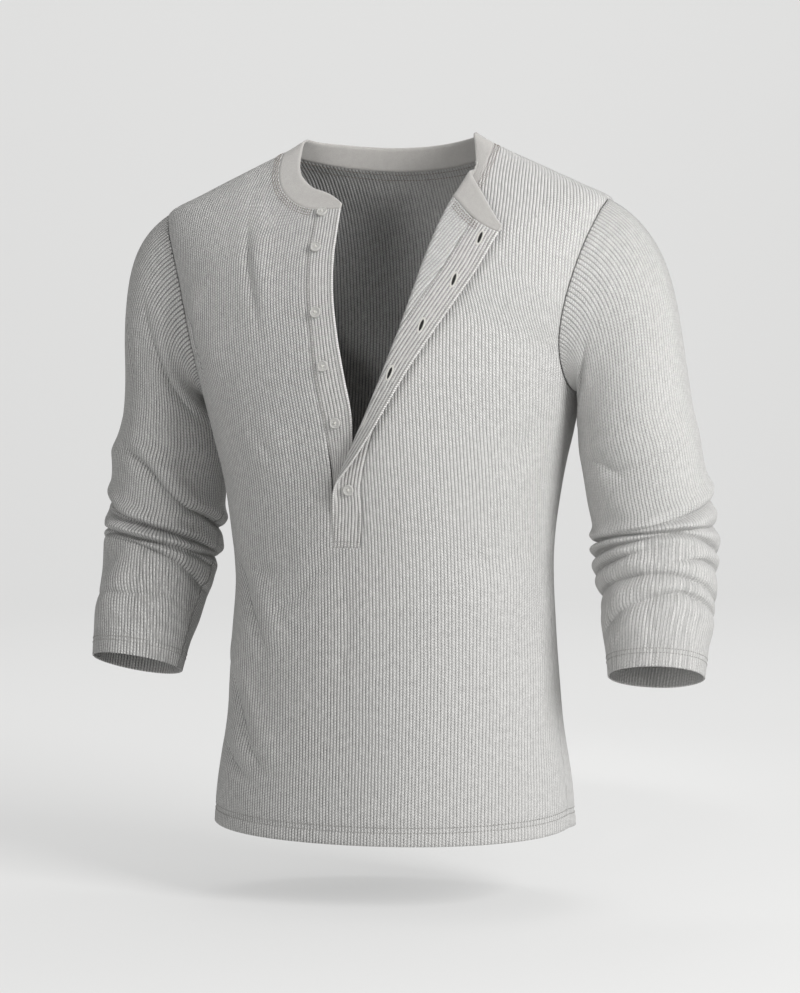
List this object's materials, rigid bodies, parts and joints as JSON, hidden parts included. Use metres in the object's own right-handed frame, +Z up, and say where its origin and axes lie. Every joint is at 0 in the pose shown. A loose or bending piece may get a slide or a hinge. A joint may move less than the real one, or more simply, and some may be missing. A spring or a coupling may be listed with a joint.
{
  "type": "henley shirt",
  "caption": "Long-sleeved henley shirt in rib knit, filled out as worn, with an open button placket folded back and sleeves pushed up.",
  "frame": {"origin": "midway between the two high shoulder points, where the wearer's neck carries the shirt", "axes": "+Z up, front towards -Y, +X towards the wearer's left"},
  "size_m": [0.6575, 0.2514, 0.6918],
  "materials": {
    "rib_knit": "grey melange rib knit, matte",
    "fine_knit": "smooth fine knit of the neckband, matte",
    "placket_knit": "rib knit running along the placket, matte",
    "button": "satin grey, four holes"
  },
  "bodies": {
    "root": {"front": "rib_knit", "back": "rib_knit", "sleeve_left": "rib_knit", "sleeve_right": "rib_knit", "neckband": "fine_knit", "button_placket": "placket_knit", "buttonhole_placket": "placket_knit", "button_1": "button", "button_2": "button", "button_3": "button", "button_4": "button", "button_5": "button", "button_6": "button"}
  },
  "joints": []
}
